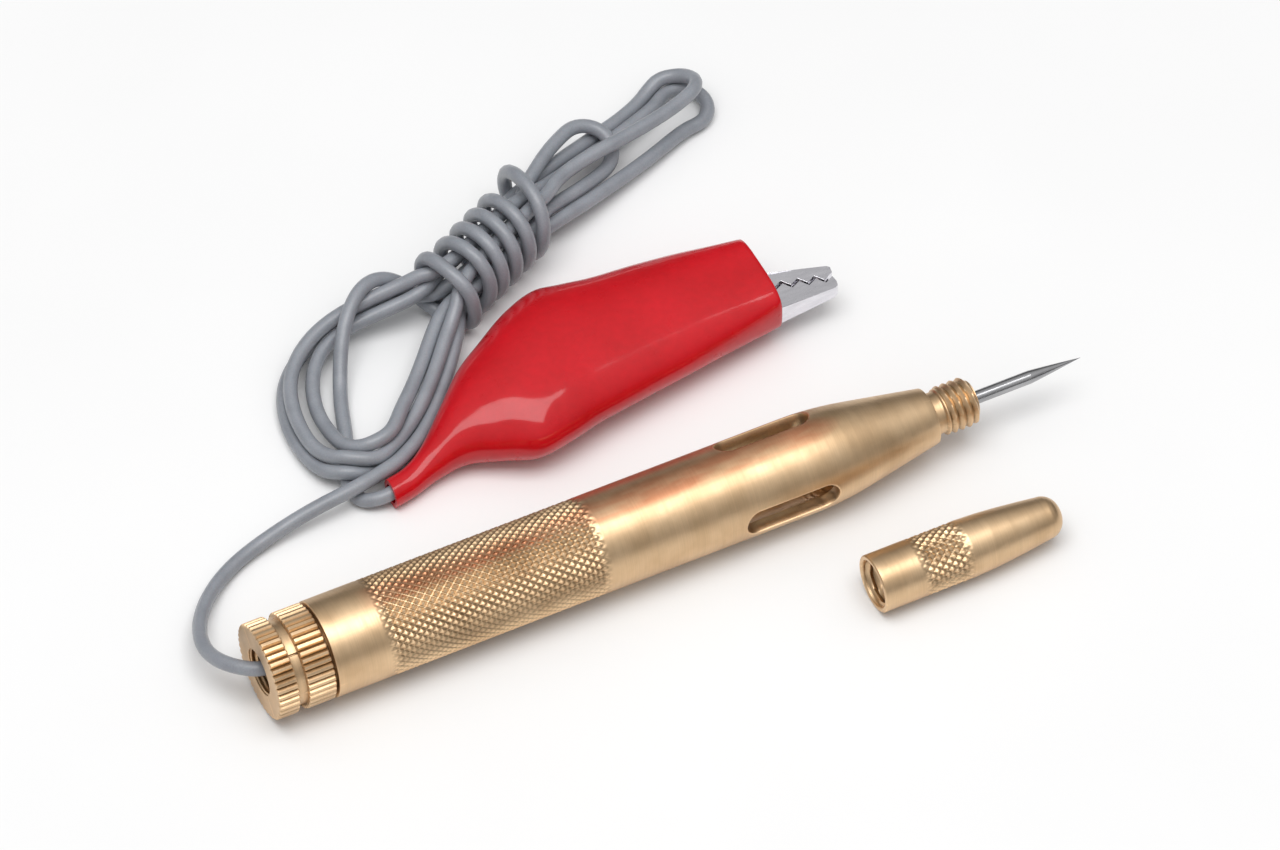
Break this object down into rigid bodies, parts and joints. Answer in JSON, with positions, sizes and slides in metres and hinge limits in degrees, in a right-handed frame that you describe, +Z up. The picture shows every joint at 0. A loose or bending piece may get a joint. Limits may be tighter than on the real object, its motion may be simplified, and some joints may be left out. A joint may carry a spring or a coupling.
{
  "type": "circuit test lamp",
  "caption": "Knurled brass test pen with steel needle, inner bulb, loose screw-on tip cap, and a grey lead tied in a hank that ends in a red-booted alligator clip.",
  "frame": {"origin": "on the bench plane, under the middle of the box round the pen and its loose tip cap; the lead, its hank and the clip are left out of that box", "axes": "+X along the pen from its rear cap to its needle point, +Y across the bench towards the hank and the clip, +Z up"},
  "size_m": [0.1132, 0.0876, 0.012],
  "materials": {
    "brass": "satin turned and knurled brass",
    "steel": "ground and polished",
    "nickel": "bright nickel-plated pressed sheet",
    "copper": "bare stranded copper",
    "fibre": "matt pressed fibre",
    "black_glass": "glossy black insulator",
    "clear_glass": "clear blown glass",
    "grey_pvc": "semi-gloss soft grey insulation",
    "red_pvc": "glossy soft red sleeve",
    "tungsten": "dull drawn wire",
    "solder": "smooth solder bead"
  },
  "bodies": {
    "pen_and_lead": {"barrel": "brass", "probe_needle": "steel", "insulating_sleeve": "fibre", "cord_terminal": "brass", "cord_core_pen": "copper", "contact_spring": "steel", "bulb_tip_contact": "solder", "bulb_base_insulator": "black_glass", "bulb_shell": "brass", "bulb_glass": "clear_glass", "bulb_stem": "clear_glass", "bulb_support_wire_left": "nickel", "bulb_support_wire_right": "nickel", "filament": "tungsten", "cord_lead": "grey_pvc", "cord_loops_left": "grey_pvc", "cord_wrap": "grey_pvc", "cord_loops_right": "grey_pvc", "cord_tail": "grey_pvc", "cord_clip_end": "grey_pvc", "cord_core_clip": "copper", "clip_fixed_jaw": "nickel", "clip_pin": "nickel", "clip_spring": "steel", "clip_boot": "red_pvc"},
    "cap_carrier": {"thrust_washer": "fibre"},
    "rear_cap_body": {"rear_cap": "brass"},
    "plunger": {"contact_plunger": "brass"},
    "moving_jaw": {"clip_moving_jaw": "nickel"},
    "tip_cap_body": {"tip_cap": "brass"}
  },
  "joints": [
    {"name": "rear_cap_travel", "type": "slide", "parent": "pen_and_lead", "child": "cap_carrier", "axis": [-1, 0, 0], "range_m": [0, 0.0015]},
    {"name": "rear_cap_turn", "type": "hinge", "parent": "cap_carrier", "child": "rear_cap_body", "pos_m": [-0.0542, 0.00795, 0.006], "axis": [-1, 0, 0], "range_deg": [0, 720]},
    {"name": "contact_plunger_travel", "type": "slide", "parent": "pen_and_lead", "child": "plunger", "axis": [-1, 0, 0], "range_m": [0, 0.0015], "stiffness_N_per_m": 300, "springref_m": -0.005, "deforming": ["contact_spring"]},
    {"name": "clip_jaw_open", "type": "hinge", "parent": "pen_and_lead", "child": "moving_jaw", "pos_m": [0.0128, 0.03515, 0.0046], "axis": [0, 0, 1], "range_deg": [0, 25], "stiffness_Nm_per_rad": 0.03, "springref_deg": -34.38, "deforming": ["clip_spring", "clip_boot"]},
    {"name": "tip_cap_off", "type": "slide", "parent": "pen_and_lead", "child": "tip_cap_body", "axis": [0.9463, 0.3207, 0.0421], "range_m": [0, 0.05707]}
  ],
  "couplings": [
    {"joint": "rear_cap_turn", "follows": "rear_cap_travel", "rad_per_m": 8377.5}
  ]
}
